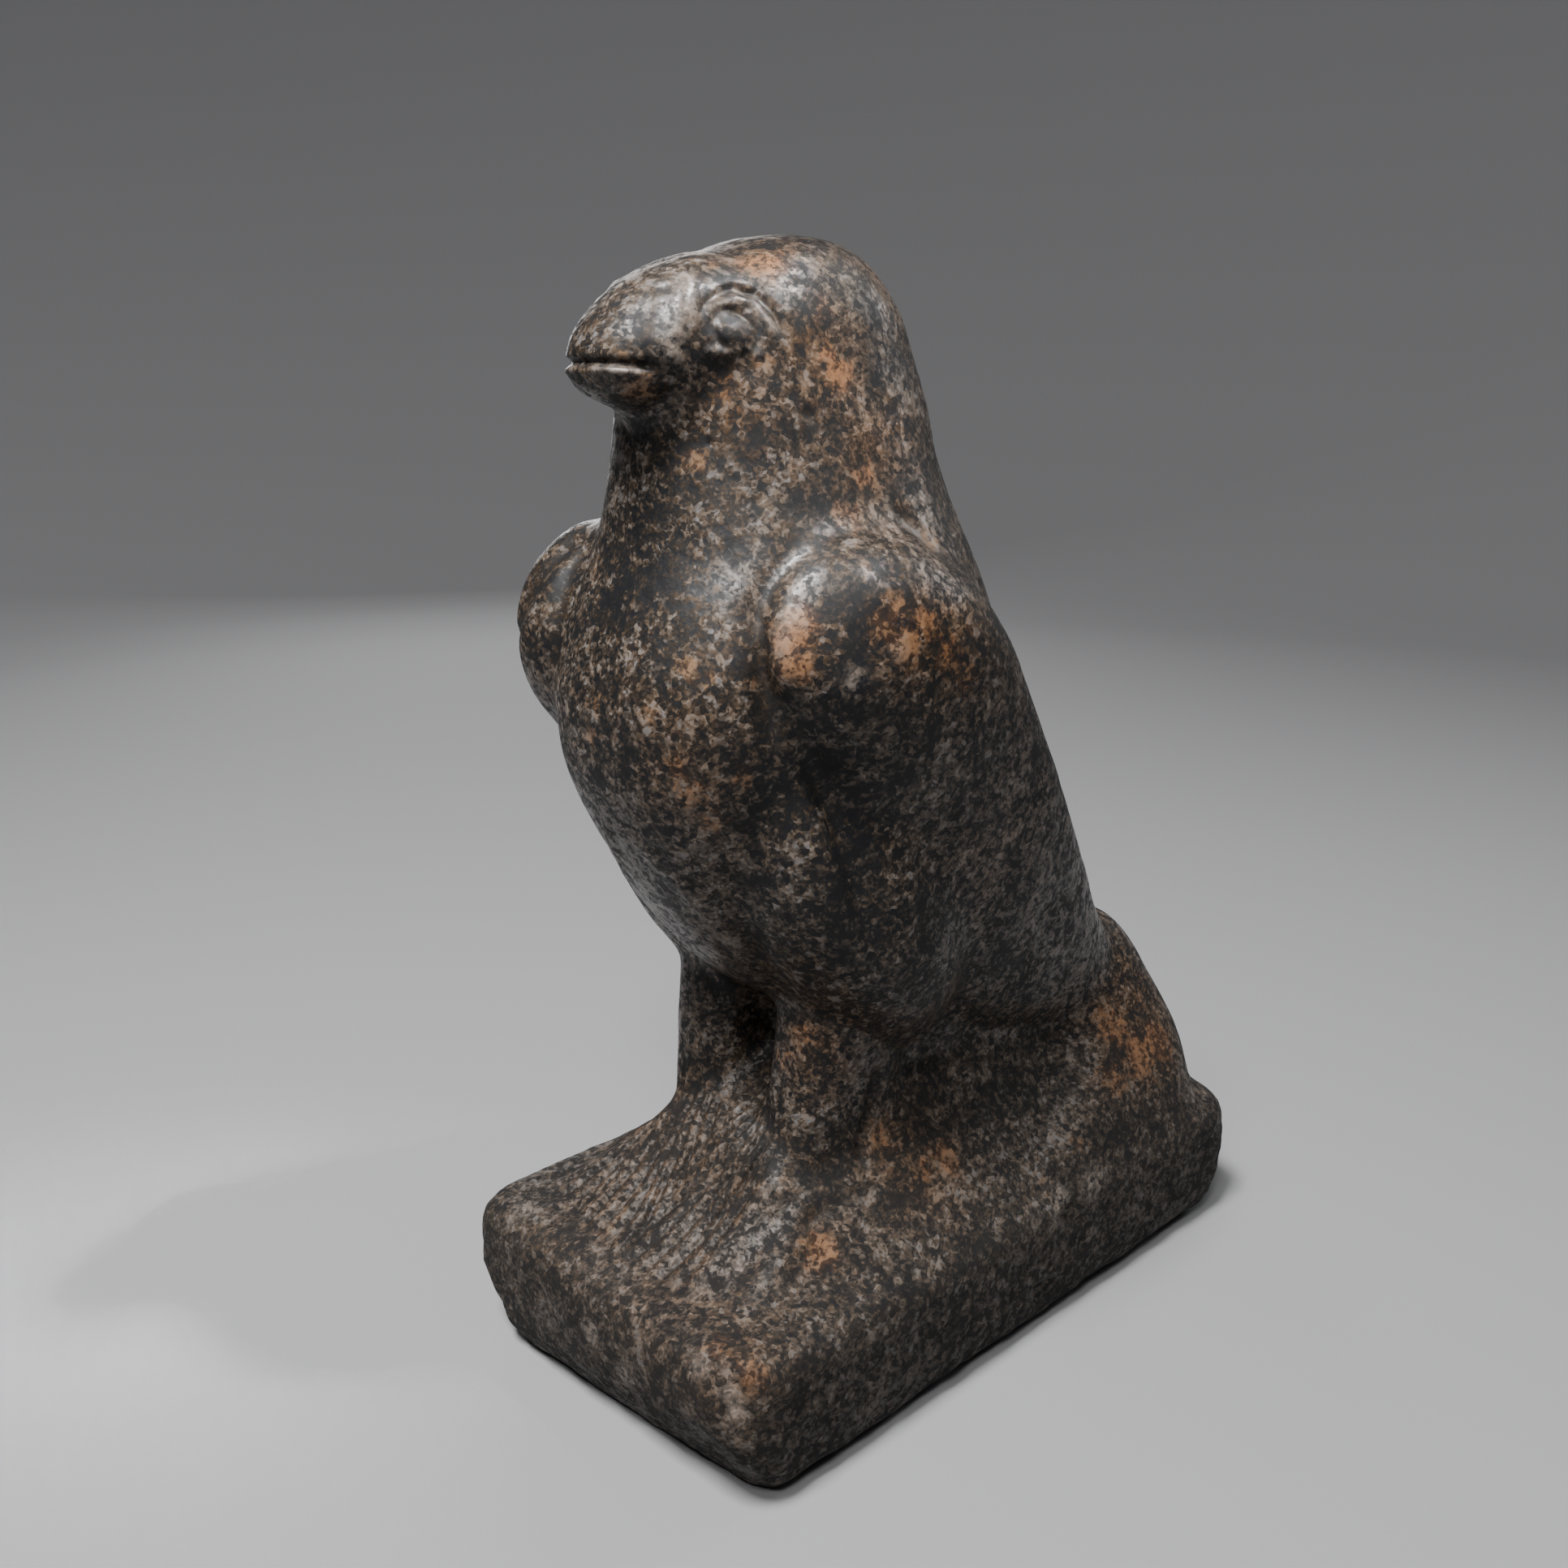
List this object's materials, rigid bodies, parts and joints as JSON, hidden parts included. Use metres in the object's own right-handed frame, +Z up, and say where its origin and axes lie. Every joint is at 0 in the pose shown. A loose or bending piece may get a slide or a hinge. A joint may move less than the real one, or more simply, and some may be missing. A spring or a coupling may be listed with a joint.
{
  "type": "falcon statue",
  "caption": "Standing falcon carved in one piece with its oblong block: hooked beak, folded wings down to the tail, stone left between the legs and behind them.",
  "frame": {"origin": "middle of the block's underside", "axes": "+Z up, -Y the way the falcon faces, +X the falcon's left side"},
  "size_m": [0.108, 0.198, 0.2689],
  "materials": {
    "granite": "polished dark speckled granite with rust-brown spots, rougher on the block's sides"
  },
  "bodies": {
    "root": {"falcon_statue": "granite"}
  },
  "joints": []
}
